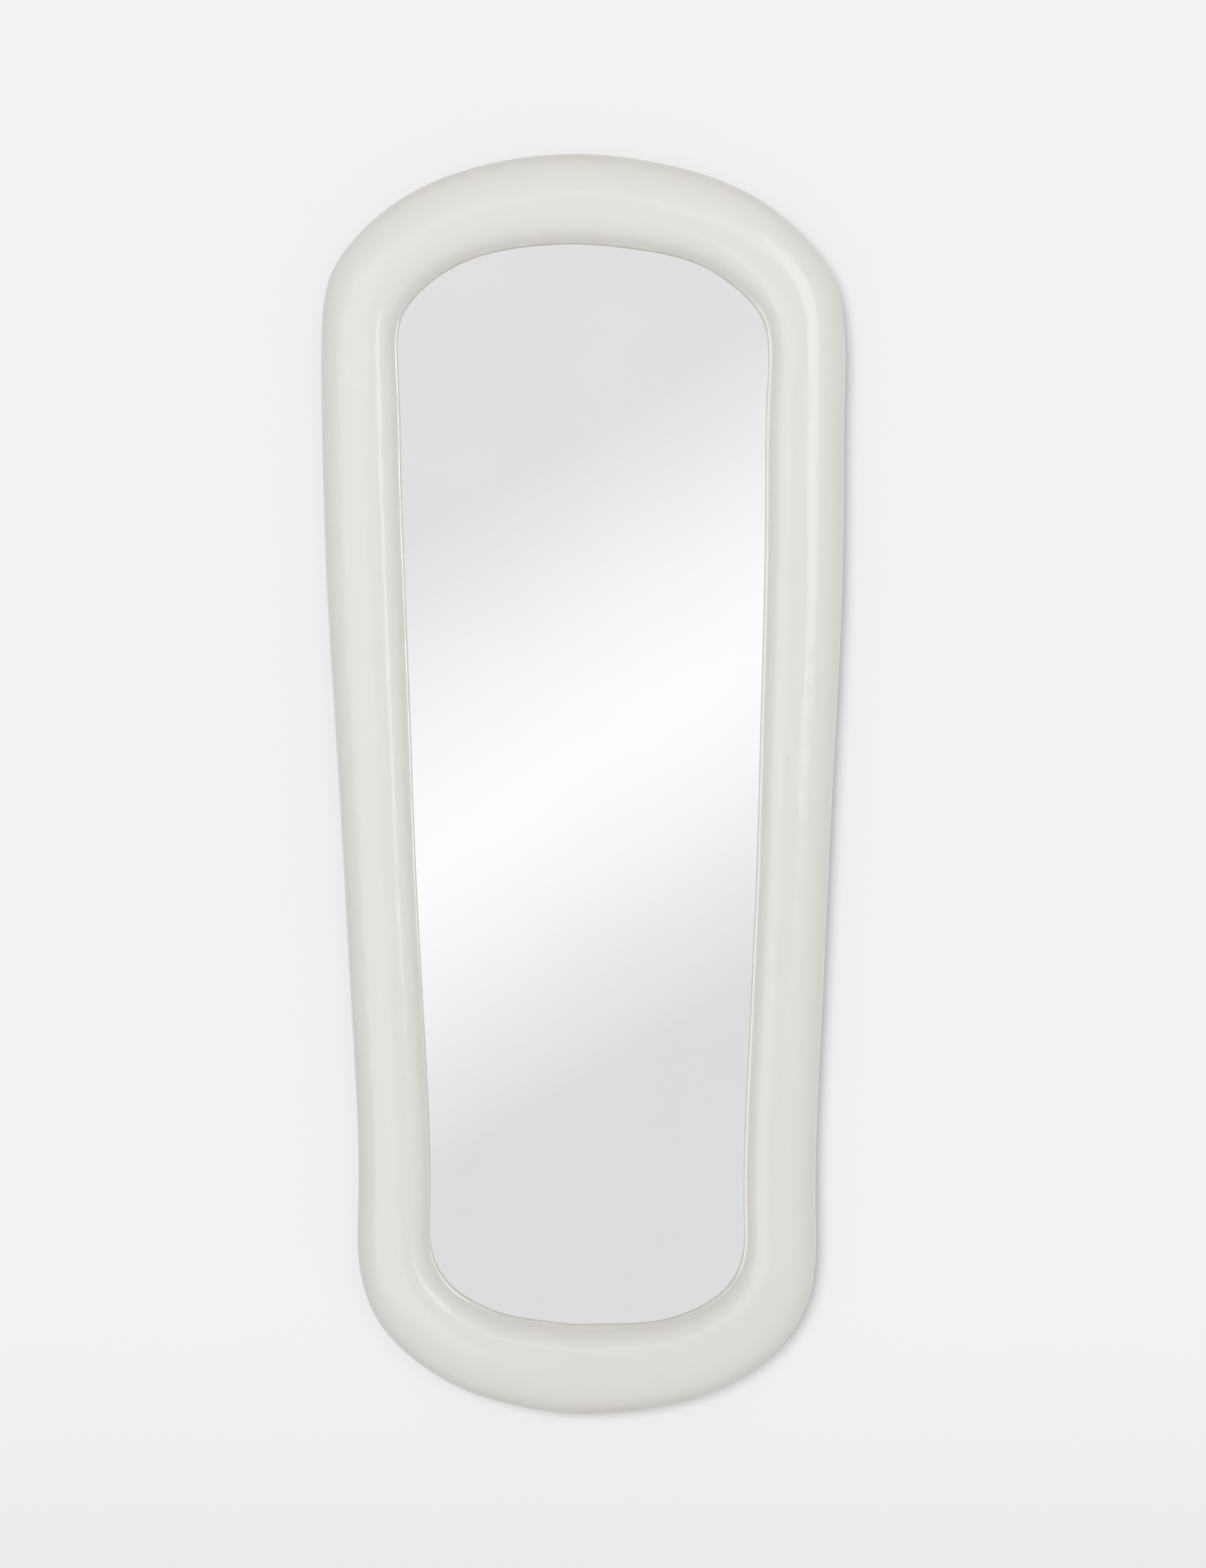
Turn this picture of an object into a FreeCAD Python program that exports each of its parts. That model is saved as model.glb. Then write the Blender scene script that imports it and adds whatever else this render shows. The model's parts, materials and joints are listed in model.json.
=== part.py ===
"""Full-length mirror in a puffy hand-formed frame, hung on two D-rings.

Millimetres. X runs across the mirror, Z up it, and Y from the front (-Y) to the wall (+Y).
The origin is the centre of the base of the overall box.

The frame is a hollow moulded shell with a D-shaped section and a flange behind its sight edge.
A plywood ring in four pieces is screwed to that flange. It carries the hangers and the wall
bumpers, and its inner edge is the rebate that holds the glass. The back panel closes the rebate.

A place in the frame's section is (s, d): s runs outwards from the sight edge, which is the
frame's inner edge as seen from the front, and d runs forwards from the shell's rear rim.
"""
import FreeCAD, Part
import math
import os

Vector = FreeCAD.Vector

# Frame, overall
FRAME_WIDTH = 762.0
FRAME_HEIGHT = 1829.0
FRAME_DEPTH = 76.0          # rear rim to the highest part of the crown
BAND_TOP = 131.0            # width of the frame's band at the top, bottom and sides
BAND_BOTTOM = 130.5
BAND_SIDE_HIGH = 114.5
BAND_SIDE_LOW = 105.0
BAND_CHANGE = (0.40, 0.68)  # the side bands widen between these shares of the height
END_SHARPNESS = 1.5         # how fast an end's band width gives way to the side's at a corner
TOP_HUB = 389.0             # the round ends' sections point at hubs this far in from the ends,
BOTTOM_HUB = 330.0          # and the sections between the hubs lie level

# Moulded shell
SHELL_WALL = 5.0
RIM_TUCK = 6.0              # how far the rear rim curls in under the widest line
WIDEST_DEPTH = 22.0         # the widest line's distance in front of the rim
CREST_SHARE = 0.36          # the crest's place across the band, from the sight edge
CREST_DROP = 5.0            # the crown is this much lower where the band is narrowest
FULLNESS = 2.5              # exponent of the crown's superellipse; 2 is a plain ellipse
TUCK_SHARES = (1.0, 0.66, 0.33)    # stations from the rim to the widest line
CROWN_ANGLES = (0, 12, 24, 36, 48, 60, 75, 90, 105, 120, 132, 144, 156, 168, 180)
FLANGE_WIDTH = 32.0

# Plywood ring
RING_RECESS = 13.0          # rim to the ring's rear face
RING_THICKNESS = 15.0
RING_CLEARANCE = 1.5        # between the ring's outer edge and the rim
JOINT_GAP = 0.5
JOINT_FROM_TOP = 480.0
JOINT_FROM_BOTTOM = 420.0

# Glass pack
GLASS_THICKNESS = 5.0
GLASS_OVERLAP = 12.0        # how far the glass runs behind the sight edge
EDGE_GAP = 3.0              # between the glass and the ring, filled by blocks here and there
TAPE_THICKNESS = 2.0
TAPE_SETBACK = 3.0          # keeps the tape out of sight
FILM_THICKNESS = 0.3
EDGE_MARGIN = 1.0           # tape and film stop this far inside the glass's edge
BLOCK_LENGTH = 60.0
BLOCK_OFFSET = 75.0         # setting blocks, each side of the centre
SPACER_LENGTH = 25.0
SPACER_LEVELS = (0.30, 0.72)
TOP_SPACER_OFFSET = 90.0
PAD_SIZE = 40.0
PAD_COLUMN = 150.0          # pads, each side of the centre
PAD_ROWS = 5
PAD_END_MARGIN = 150.0      # sight edge to the middle of the first and last pads

# Back panel
PANEL_THICKNESS = 5.0
PANEL_LAP = 27.0            # how far it covers the ring
PANEL_SCREW_INSET = 12.0    # from the panel's edge

# Ring screws, from the ring into the shell's flange
RING_SCREW_INSET = 8.5      # from the ring's inner edge
FIXINGS = 20                # panel screws, and as many ring screws half way between them

# Splice plates over the ring's joints
PLATE_LENGTH = 100.0
PLATE_WIDTH = 22.0
PLATE_THICKNESS = 2.0
PLATE_CORNER = 3.0
PLATE_HOLES = (-38.0, -14.0, 14.0, 38.0)

# D-ring hangers
HANG_FROM_TOP = 330.0
STRAP_WIDTH = 16.0
STRAP_SHEET = 1.5           # the strap is this sheet folded double round the ring
STRAP_LENGTH = 62.0
STRAP_HOLES = (30.0, 42.0, 54.0)   # below the bar
STRAP_STEP = 3.0            # the upper leaf ends this much short of the lower one
STRAP_CORNER = 4.0
WIRE_DIAMETER = 4.0
WIRE_CLEARANCE = 0.08       # between the ring's bar and the strap's loop
RING_INNER_WIDTH = 24.0
RING_REACH = 22.0           # bar to the far end of the ring, both at the wire's middle
RING_BEND = 4.0             # bend radius at the ends of the bar
RING_REST_GAP = 0.3         # left between the resting ring and the strap

# Wall bumpers
BUMPER_PROUD = 3.0          # how far they stand out behind the rim
BUMPER_BASE_RADIUS = 12.0
BUMPER_FACE_RADIUS = 10.0
BUMPER_EDGE_ROUND = 1.0
BUMPER_SEAT_DEPTH = 9.0     # face to the washer's seat
BUMPER_TOP_FROM_TOP = 230.0
BUMPER_BOTTOM_LEVEL = 220.0
WASHER_RADIUS = 5.0
WASHER_THICKNESS = 1.0
WASHER_CLEARANCE = 0.2

# Screws: shank radius, bite into the ring, head radius, head height
PANEL_SCREW = (1.75, 11.0, 3.6, 2.2)
PLATE_SCREW = (1.75, 10.0, 3.2, 2.2)
HANGER_SCREW = (2.0, 11.0, 4.0, 2.6)
BUMPER_SCREW = (2.0, 9.0, 4.0, 2.6)
RING_SCREW_RADIUS = 1.75
RING_SCREW_HEAD = 3.6
RING_SCREW_SHORT = 1.5      # its tip stays this far behind the flange's front
HOLE_CLEARANCE = 0.4        # radial, where a shank passes freely
RECESS_WIDTH = 0.9
RECESS_DEPTH = 1.4
RECESS_SHARE = 0.55         # the cross recess, as a share of the head
HEAD_ROUND = 0.45           # a pan head's edge radius, as a share of its height

# Section levels that follow from the sizes above, as d
LIP_BACK = RING_RECESS + RING_THICKNESS
LIP_FRONT = LIP_BACK + SHELL_WALL
GLASS_FRONT = LIP_BACK - TAPE_THICKNESS
GLASS_BACK = GLASS_FRONT - GLASS_THICKNESS
FILM_BACK = GLASS_BACK - FILM_THICKNESS
PANEL_BACK = RING_RECESS - PANEL_THICKNESS

# Section places that follow, as s
RING_INNER = GLASS_OVERLAP + EDGE_GAP
PANEL_EDGE = RING_INNER + PANEL_LAP
RING_INSET = RIM_TUCK + SHELL_WALL + RING_CLEARANCE

# The rim's Y puts the overall box's middle on the origin, bumpers included
RIM_Y = (FRAME_DEPTH - BUMPER_PROUD) / 2
RING_BACK_Y = RIM_Y - RING_RECESS
HANG_LEVEL = FRAME_HEIGHT - HANG_FROM_TOP
SIGHT_HEIGHT = FRAME_HEIGHT - BAND_TOP - BAND_BOTTOM

# The outer outline, as seen from the front, anticlockwise from its lowest point. An x is a share
# of the half width, and a z is a share of the height. It is the hand-formed shape's own: a little
# narrower at the foot, with a fuller left shoulder and a tighter right heel.
OUTLINE = (
    (0.00, 0.000), (0.275, 0.005), (0.52, 0.020), (0.68, 0.040), (0.80, 0.065), (0.87, 0.096),
    (0.89, 0.16), (0.91, 0.30), (0.96, 0.52), (0.995, 0.68), (1.00, 0.80), (0.998, 0.865),
    (0.96, 0.901), (0.86, 0.931), (0.63, 0.969), (0.33, 0.991), (0.00, 1.000), (-0.34, 0.993),
    (-0.65, 0.970), (-0.88, 0.931), (-0.97, 0.901), (-0.998, 0.865), (-1.00, 0.80),
    (-0.985, 0.68), (-0.94, 0.52), (-0.88, 0.30), (-0.86, 0.17), (-0.84, 0.101),
    (-0.76, 0.067), (-0.63, 0.041), (-0.47, 0.021), (-0.26, 0.007),
)
SECTIONS = 96               # sections that carry the surfaces round the frame
PATCHES = 4                 # the surfaces round the frame are cut into this many
TRACE_POINTS = 4000         # points that a curve is read at to find its extent or an X on it


# Outlines and sections

def closed_curve(points):
    """A smooth closed curve through the points, with its parameter from 0 to 1."""
    curve = Part.BSplineCurve()
    steps = [i / len(points) for i in range(len(points) + 1)]
    curve.interpolate(Points=points, PeriodicFlag=True, Parameters=steps)
    return curve


def outline_curve():
    """The outer outline, made to fill the frame's width and height exactly."""
    points = [Vector(x, 0, z) for x, z in OUTLINE]
    for _ in range(2):
        scaled = [Vector(p.x * FRAME_WIDTH / 2, 0, p.z * FRAME_HEIGHT) for p in points]
        curve = Part.BSplineCurve()
        curve.interpolate(Points=scaled, PeriodicFlag=True)
        trace = curve.toShape().discretize(TRACE_POINTS)
        left, right = min(p.x for p in trace), max(p.x for p in trace)
        low, high = min(p.z for p in trace), max(p.z for p in trace)
        points = [Vector((2 * p.x - left - right) / (right - left), 0,
                         (p.z - low) / (high - low)) for p in scaled]
    return curve


def smooth_step(share):
    """From 0 to 1 with level ends."""
    share = min(max(share, 0.0), 1.0)
    return share * share * (3 - 2 * share)


def section_direction(point):
    """Unit vector outwards along the section that ends at a point of the outer outline."""
    hub = Vector(0, 0, min(max(point.z, BOTTOM_HUB), FRAME_HEIGHT - TOP_HUB))
    return (point - hub).normalize()


def band_width(point, outwards):
    """Width of the band along the section that ends at a point of the outer outline."""
    start, end = BAND_CHANGE
    rise = smooth_step((point.z / FRAME_HEIGHT - start) / (end - start))
    side = BAND_SIDE_LOW + (BAND_SIDE_HIGH - BAND_SIDE_LOW) * rise
    end_width = BAND_TOP if outwards.z > 0 else BAND_BOTTOM
    return side + (end_width - side) * abs(outwards.z) ** END_SHARPNESS


def make_sections():
    """The frame's sections, evenly spread: sight point, unit vector outwards and band width."""
    edge = outline_curve().toShape()
    found = []
    for i in range(SECTIONS):
        point = edge.valueAt(edge.getParameterByLength(edge.Length * i / SECTIONS))
        outwards = section_direction(point)
        width = band_width(point, outwards)
        found.append((point - outwards * width, outwards, width))
    return found


SECTION_LIST = make_sections()
NARROWEST = min(width for _, _, width in SECTION_LIST)
WIDEST = max(width for _, _, width in SECTION_LIST)


def place(section, s, d):
    """The point (s, d) of a section."""
    at, outwards, _ = section
    return Vector(at.x + outwards.x * s, RIM_Y - d, at.z + outwards.z * s)


def loop(s, d=0.0):
    """The closed curve at a distance s outside the sight edge."""
    return closed_curve([place(section, s, d) for section in SECTION_LIST])


def outer_loop(inset, d=0.0):
    """The closed curve at a distance inside the frame's outer outline."""
    return closed_curve([place(section, section[2] - inset, d) for section in SECTION_LIST])


def flat_face(*wires):
    """The flat face inside the first wire and outside the others."""
    return Part.makeFace(list(wires), "Part::FaceMakerBullseye")


def plate(thickness, outer, inner=None):
    """A flat plate that runs forwards from its outer and inner curves."""
    wires = [Part.Wire(curve.toShape()) for curve in (outer, inner) if curve is not None]
    return flat_face(*wires).extrude(Vector(0, -thickness, 0))


def x_at_level(curve, level, side):
    """X of a closed curve at a height, on the left (side -1) or the right (side 1)."""
    points = curve.toShape().discretize(TRACE_POINTS)
    for a, b in zip(points, points[1:]):
        if (a.z - level) * (b.z - level) <= 0 and a.z != b.z and a.x * side > 0:
            return a.x + (b.x - a.x) * (level - a.z) / (b.z - a.z)
    raise ValueError(f"the curve doesn't reach the height {level}")


def margin_x(level, side):
    """X of the middle of the ring's open margin, between the panel and the ring's edge."""
    inner = x_at_level(loop(PANEL_EDGE), level, side)
    outer = x_at_level(outer_loop(RING_INSET), level, side)
    return (inner + outer) / 2


def slab(x_low, x_high, z_low, z_high):
    """A block between the given X and Z, deeper than the frame, for cutting plates."""
    return Part.makeBox(x_high - x_low, 2 * FRAME_DEPTH, z_high - z_low,
                        Vector(x_low, -FRAME_DEPTH, z_low))


def spread_points(s, d, first):
    """Points for the fixings, evenly spread round the loop at s; `first` is a share of a step."""
    edge = loop(s, d).toShape()
    shares = [((i + first) / FIXINGS) % 1.0 for i in range(FIXINGS)]
    return [edge.valueAt(edge.getParameterByLength(edge.Length * share)) for share in shares]


# Moulded shell

def skin(width, inset):
    """The skin's section, from the rim over the crest to the lip, moved inwards by `inset`."""
    power = 2 / FULLNESS
    crest = CREST_SHARE * width
    slack = (WIDEST - width) / max(WIDEST - NARROWEST, 1e-6)
    top = FRAME_DEPTH - CREST_DROP * slack - inset
    points = []
    for share in TUCK_SHARES:
        points.append((width - inset - RIM_TUCK * share ** 2, WIDEST_DEPTH * (1 - share)))
    for degrees in CROWN_ANGLES:
        across = abs(math.cos(math.radians(degrees))) ** power
        height = math.sin(math.radians(degrees)) ** power if degrees < 180 else 0.0
        if degrees < 90:
            points.append((crest + (width - inset - crest) * across,
                           WIDEST_DEPTH + (top - WIDEST_DEPTH) * height))
        else:
            points.append((crest - (crest - inset) * across,
                           LIP_FRONT + (top - LIP_FRONT) * height))
    return points


def section_steps(points):
    """Parameters from 0 to 1 along an open row of points, by the root of each chord."""
    lengths = [0.0]
    for a, b in zip(points, points[1:]):
        lengths.append(lengths[-1] + math.sqrt((b - a).Length))
    return [length / lengths[-1] for length in lengths]


def rows_of(profiles):
    """One closed row of points for each point of the profiles, which are one to a section."""
    return [[place(section, *profile[i]) for section, profile in zip(SECTION_LIST, profiles)]
            for i in range(len(profiles[0]))]


def cuts():
    """The shares of the way round at which the surfaces are cut into patches."""
    return [(i / PATCHES, (i + 1) / PATCHES) for i in range(PATCHES)]


def smooth_faces(rows):
    """Faces of the smooth surface through rows of points, each row a closed curve."""
    rails = [closed_curve(row) for row in rows]
    steps = section_steps([row[0] for row in rows])
    columns = []
    for poles in zip(*[rail.getPoles() for rail in rails]):
        column = Part.BSplineCurve()
        column.interpolate(Points=list(poles), Parameters=steps)
        columns.append(column)
    surface = Part.BSplineSurface()
    surface.buildFromPolesMultsKnots(
        [column.getPoles() for column in columns],
        rails[0].getMultiplicities(), columns[0].getMultiplicities(),
        rails[0].getKnots(), columns[0].getKnots(), True, False, 3, 3)
    faces = []
    for start, end in cuts():
        patch = surface.copy()
        patch.segment(start, end, 0.0, 1.0)
        faces.append(patch.toShape())
    return faces


def ruled_faces(row, other):
    """Faces straight across between two closed rows."""
    a, b = closed_curve(row), closed_curve(other)
    return [Part.makeRuledSurface(a.toShape(*cut), b.toShape(*cut)) for cut in cuts()]


def annulus(outer_row, inner_row):
    """The flat face between two closed rows."""
    wires = []
    for row in (outer_row, inner_row):
        curve = closed_curve(row)
        wires.append(Part.Wire([curve.toShape(*cut) for cut in cuts()]))
    return flat_face(*wires)


def make_frame_shell(cutters):
    """The moulded shell: crown, inner skin, and the flange behind the sight edge."""
    outside = rows_of([skin(width, 0.0) + [(0.0, LIP_BACK)] for _, _, width in SECTION_LIST])
    inside = rows_of([skin(width, SHELL_WALL) for _, _, width in SECTION_LIST])
    flange_back = [place(section, FLANGE_WIDTH, LIP_BACK) for section in SECTION_LIST]
    flange_front = [place(section, FLANGE_WIDTH, LIP_FRONT) for section in SECTION_LIST]
    faces = smooth_faces(outside) + smooth_faces(inside) + ruled_faces(flange_back, flange_front)
    faces.append(annulus(outside[0], inside[0]))
    faces.append(annulus(flange_back, outside[-1]))
    faces.append(annulus(flange_front, inside[-1]))
    sewn = Part.makeCompound(faces)
    sewn.sewShape(0.001)
    shell = sewn if sewn.ShapeType == "Shell" else sewn.Shells[0]
    solid = Part.makeSolid(shell)
    if solid.Volume < 0:
        solid.reverse()
    return solid.cut(cutters)


# Screws

def cylinder(radius, start, length):
    """A cylinder that runs forwards from a point."""
    return Part.makeCylinder(radius, length, start, Vector(0, -1, 0))


def cross_recess(at, head_radius):
    """The cutter for a cross recess whose mouth is at a point."""
    reach = RECESS_SHARE * head_radius
    arms = []
    for across, along in ((reach, RECESS_WIDTH / 2), (RECESS_WIDTH / 2, reach)):
        arms.append(Part.makeBox(2 * across, RECESS_DEPTH, 2 * along,
                                 at + Vector(-across, -RECESS_DEPTH, -along)))
    return arms[0].fuse(arms[1])


def pan_screw(spec, seat, through):
    """A pan-head screw with its head on a point and its shank through a thickness."""
    radius, bite, head_radius, head_height = spec
    head = Part.makeCylinder(head_radius, head_height, seat, Vector(0, 1, 0))
    rim = [edge for edge in head.Edges if abs(edge.CenterOfMass.y - seat.y - head_height) < 1e-6]
    head = head.makeFillet(HEAD_ROUND * head_height, rim)
    screw = head.fuse(cylinder(radius, seat, through + bite))
    return screw.cut(cross_recess(seat + Vector(0, head_height, 0), head_radius))


def ring_screw_blank(seat):
    """A countersunk ring screw without its recess; it is also the cutter for its own hole."""
    sink = RING_SCREW_HEAD - RING_SCREW_RADIUS
    length = RING_THICKNESS + SHELL_WALL - RING_SCREW_SHORT
    head = Part.makeCone(RING_SCREW_HEAD, RING_SCREW_RADIUS, sink, seat, Vector(0, -1, 0))
    return head.fuse(cylinder(RING_SCREW_RADIUS, seat, length))


def ring_screw_seats():
    """The ring screws' places on the ring's rear face."""
    return spread_points(RING_INNER + RING_SCREW_INSET, RING_RECESS, 0.75)


def make_ring_screws():
    return Part.makeCompound([ring_screw_blank(seat).cut(cross_recess(seat, RING_SCREW_HEAD))
                              for seat in ring_screw_seats()])


def panel_screw_seats():
    """The panel screws' places on the panel's rear face."""
    return spread_points(PANEL_EDGE - PANEL_SCREW_INSET, PANEL_BACK, 0.25)


def make_panel_screws():
    return Part.makeCompound([pan_screw(PANEL_SCREW, seat, PANEL_THICKNESS)
                              for seat in panel_screw_seats()])


# Plywood ring and its splice plates

def joint_levels():
    """The heights of the ring's lower and upper joints."""
    return JOINT_FROM_BOTTOM, FRAME_HEIGHT - JOINT_FROM_TOP


def make_ring(cutters):
    """The ring's four pieces, with a pilot hole for every screw."""
    whole = plate(RING_THICKNESS, outer_loop(RING_INSET, RING_RECESS), loop(RING_INNER, RING_RECESS))
    low, high = joint_levels()
    half = JOINT_GAP / 2
    pieces = {
        "ring_bottom": slab(-FRAME_WIDTH, FRAME_WIDTH, -1, low - half),
        "ring_top": slab(-FRAME_WIDTH, FRAME_WIDTH, high + half, FRAME_HEIGHT),
        "ring_left": slab(-FRAME_WIDTH, 0, low + half, high - half),
        "ring_right": slab(0, FRAME_WIDTH, low + half, high - half),
    }
    return {name: whole.common(block).cut(cutters) for name, block in pieces.items()}


def plate_centres():
    """Each splice plate's name and its middle on the ring's rear face."""
    low, high = joint_levels()
    return {f"splice_plate_{row}_{hand}": Vector(margin_x(level, side), RING_BACK_Y, level)
            for row, level in (("lower", low), ("upper", high))
            for hand, side in (("left", -1), ("right", 1))}


def plate_screw_points(centre):
    return [centre + Vector(0, 0, rise) for rise in PLATE_HOLES]


def make_splice_plate(centre):
    """A flat steel plate over one of the ring's joints."""
    box = Part.makeBox(PLATE_WIDTH, PLATE_THICKNESS, PLATE_LENGTH,
                       centre - Vector(PLATE_WIDTH / 2, 0, PLATE_LENGTH / 2))
    corners = [edge for edge in box.Edges if abs(edge.tangentAt(edge.FirstParameter).y) > 0.9]
    body = box.makeFillet(PLATE_CORNER, corners)
    for point in plate_screw_points(centre):
        rear = point + Vector(0, PLATE_THICKNESS, 0)
        body = body.cut(cylinder(PLATE_SCREW[0] + HOLE_CLEARANCE, rear, PLATE_THICKNESS))
    return body


def make_splice_screws():
    screws = []
    for centre in plate_centres().values():
        for point in plate_screw_points(centre):
            seat = point + Vector(0, PLATE_THICKNESS, 0)
            screws.append(pan_screw(PLATE_SCREW, seat, PLATE_THICKNESS))
    return Part.makeCompound(screws)


# Glass pack and back panel

def make_glazing_tape():
    """The strip that the glass is bedded on, behind the lip."""
    return plate(TAPE_THICKNESS, loop(GLASS_OVERLAP - EDGE_MARGIN, GLASS_FRONT),
                 loop(TAPE_SETBACK, GLASS_FRONT))


def make_mirror_glass():
    return plate(GLASS_THICKNESS, loop(GLASS_OVERLAP, GLASS_BACK))


def make_safety_film():
    return plate(FILM_THICKNESS, loop(GLASS_OVERLAP - EDGE_MARGIN, FILM_BACK))


def edge_strip():
    """The whole gap between the glass and the ring, which the blocks are cut from."""
    return plate(LIP_BACK - GLASS_BACK, loop(RING_INNER, GLASS_BACK),
                 loop(GLASS_OVERLAP, GLASS_BACK))


def make_setting_blocks():
    """The two blocks that the glass stands on."""
    strip = edge_strip()
    blocks = {}
    for hand, side in (("left", -1), ("right", 1)):
        middle = side * BLOCK_OFFSET
        blocks[f"setting_block_{hand}"] = strip.common(
            slab(middle - BLOCK_LENGTH / 2, middle + BLOCK_LENGTH / 2, 0, FRAME_HEIGHT / 2))
    return blocks


def make_edge_spacers():
    """The spacers that centre the glass at its sides and top."""
    strip = edge_strip()
    half = SPACER_LENGTH / 2
    spacers = []
    for share in SPACER_LEVELS:
        level = BAND_BOTTOM + share * SIGHT_HEIGHT
        spacers += strip.common(
            slab(-FRAME_WIDTH, FRAME_WIDTH, level - half, level + half)).Solids
    for middle in (-TOP_SPACER_OFFSET, TOP_SPACER_OFFSET):
        spacers += strip.common(
            slab(middle - half, middle + half, FRAME_HEIGHT / 2, FRAME_HEIGHT)).Solids
    return Part.makeCompound(spacers)


def make_cushion_pads():
    """The pads that the back panel presses against the glass."""
    first = BAND_BOTTOM + PAD_END_MARGIN
    step = (SIGHT_HEIGHT - 2 * PAD_END_MARGIN) / (PAD_ROWS - 1)
    thickness = FILM_BACK - RING_RECESS
    pads = []
    for x in (-PAD_COLUMN, PAD_COLUMN):
        for row in range(PAD_ROWS):
            corner = Vector(x - PAD_SIZE / 2, RING_BACK_Y - thickness,
                            first + step * row - PAD_SIZE / 2)
            pads.append(Part.makeBox(PAD_SIZE, thickness, PAD_SIZE, corner))
    return Part.makeCompound(pads)


def make_back_panel():
    """The board that closes the rebate from behind."""
    body = plate(PANEL_THICKNESS, loop(PANEL_EDGE, PANEL_BACK))
    holes = [cylinder(PANEL_SCREW[0] + HOLE_CLEARANCE, seat, PANEL_THICKNESS)
             for seat in panel_screw_seats()]
    return body.cut(holes)


# D-ring hangers

BAR_HEIGHT = WIRE_DIAMETER / 2 + WIRE_CLEARANCE + STRAP_SHEET
STRAP_TOP = 2 * STRAP_SHEET
REST_ANGLE = math.degrees(math.asin(
    (STRAP_TOP + RING_REST_GAP + WIRE_DIAMETER / 2 - BAR_HEIGHT) / RING_REACH))


def bar_centre(side):
    """The middle of a hanger ring's bar, which is the ring's hinge."""
    return Vector(margin_x(HANG_LEVEL, side), RING_BACK_Y + BAR_HEIGHT, HANG_LEVEL)


def strap_screw_points(side):
    """The strap screws' places on the ring's rear face."""
    bar = bar_centre(side)
    return [Vector(bar.x, RING_BACK_Y, bar.z - drop) for drop in STRAP_HOLES]


def make_hanger_strap(side):
    """A folded strap: two leaves on the plywood and a loop round the ring's bar."""
    bar = bar_centre(side)
    left = bar.x - STRAP_WIDTH / 2
    leaves = []
    for floor, length in ((0.0, STRAP_LENGTH), (STRAP_SHEET, STRAP_LENGTH - STRAP_STEP)):
        leaf = Part.makeBox(STRAP_WIDTH, STRAP_SHEET, length,
                            Vector(left, RING_BACK_Y + floor, bar.z - length))
        ends = [edge for edge in leaf.Edges
                if abs(edge.tangentAt(edge.FirstParameter).y) > 0.9
                and edge.CenterOfMass.z < bar.z - length / 2]
        leaves.append(leaf.makeFillet(STRAP_CORNER, ends))
    start = Vector(left, bar.y, bar.z)
    barrel = Part.makeCylinder(BAR_HEIGHT, STRAP_WIDTH, start, Vector(1, 0, 0))
    bore = Part.makeCylinder(WIRE_DIAMETER / 2 + WIRE_CLEARANCE, STRAP_WIDTH, start,
                             Vector(1, 0, 0))
    body = leaves[0].fuse([leaves[1], barrel]).cut(bore)
    for point in strap_screw_points(side):
        rear = point + Vector(0, STRAP_TOP, 0)
        body = body.cut(cylinder(HANGER_SCREW[0] + HOLE_CLEARANCE, rear, STRAP_TOP))
    return body.removeSplitter()


def make_hanger_ring(side):
    """The D-shaped wire ring, hanging down over its strap."""
    half = (RING_INNER_WIDTH + WIRE_DIAMETER) / 2
    spring = RING_REACH - half

    def corner(sign):
        """The bend between the bar and one leg."""
        middle = Vector(sign * (half - RING_BEND), 0, -RING_BEND)
        diagonal = Vector(sign, 0, 1) * (RING_BEND / math.sqrt(2))
        ends = (Vector(sign * (half - RING_BEND), 0, 0), Vector(sign * half, 0, -RING_BEND))
        return ends, middle + diagonal

    (right_bar, right_leg), right_mid = corner(1)
    (left_bar, left_leg), left_mid = corner(-1)
    right_spring, left_spring = Vector(half, 0, -spring), Vector(-half, 0, -spring)
    path = Part.Wire([
        Part.makeLine(left_bar, right_bar),
        Part.Arc(right_bar, right_mid, right_leg).toShape(),
        Part.makeLine(right_leg, right_spring),
        Part.Arc(right_spring, Vector(0, 0, -RING_REACH), left_spring).toShape(),
        Part.makeLine(left_spring, left_leg),
        Part.Arc(left_leg, left_mid, left_bar).toShape(),
    ])
    circle = Part.Wire([Part.makeCircle(WIRE_DIAMETER / 2, left_bar, Vector(1, 0, 0))])
    ring = path.makePipeShell([circle], True, True)
    ring.rotate(Vector(0, 0, 0), Vector(1, 0, 0), REST_ANGLE)
    ring.translate(bar_centre(side))
    return ring


def make_hanger_screws():
    screws = []
    for side in (-1, 1):
        for point in strap_screw_points(side):
            seat = point + Vector(0, STRAP_TOP, 0)
            screws.append(pan_screw(HANGER_SCREW, seat, STRAP_TOP))
    return Part.makeCompound(screws)


# Wall bumpers

BUMPER_HEIGHT = RING_RECESS + BUMPER_PROUD
SEAT_HEIGHT = BUMPER_HEIGHT - BUMPER_SEAT_DEPTH


def bumper_centres():
    """Each bumper's name and the middle of its base on the ring's rear face."""
    return {f"wall_bumper_{row}_{hand}": Vector(margin_x(level, side), RING_BACK_Y, level)
            for row, level in (("lower", BUMPER_BOTTOM_LEVEL),
                               ("upper", FRAME_HEIGHT - BUMPER_TOP_FROM_TOP))
            for hand, side in (("left", -1), ("right", 1))}


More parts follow.
